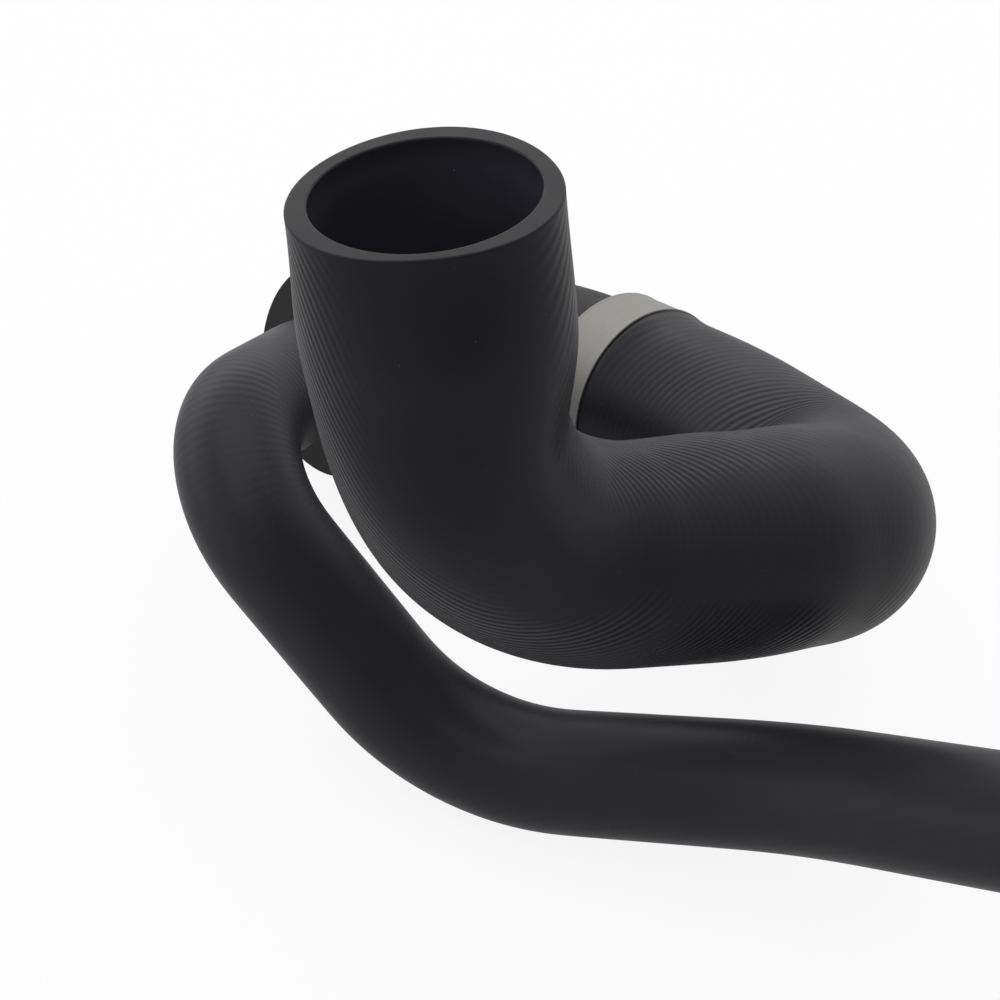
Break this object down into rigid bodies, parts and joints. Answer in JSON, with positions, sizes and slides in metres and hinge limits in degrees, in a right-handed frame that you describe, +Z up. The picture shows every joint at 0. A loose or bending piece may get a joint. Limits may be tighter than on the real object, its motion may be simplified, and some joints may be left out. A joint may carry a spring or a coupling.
{
  "type": "coolant hose",
  "caption": "Bent rubber coolant hose with an open mouth, joined by a metal band to a moulded joint and a smaller side hose.",
  "frame": {"origin": "on the floor, below the middle of the assembly's box", "axes": "+Z up, +X toward the cut end of the small hose, -Y toward the side with the large hose's mouth"},
  "size_m": [0.1852, 0.186, 0.1826],
  "materials": {
    "main_rubber": "satin, finely ribbed",
    "ring_metal": "satin",
    "joint_rubber": "smooth satin",
    "branch_rubber": "satin, finely ribbed on its bend"
  },
  "bodies": {
    "root": {"main_hose": "main_rubber", "crimp_ring": "ring_metal", "joint_body": "joint_rubber", "branch_hose": "branch_rubber"}
  },
  "joints": []
}
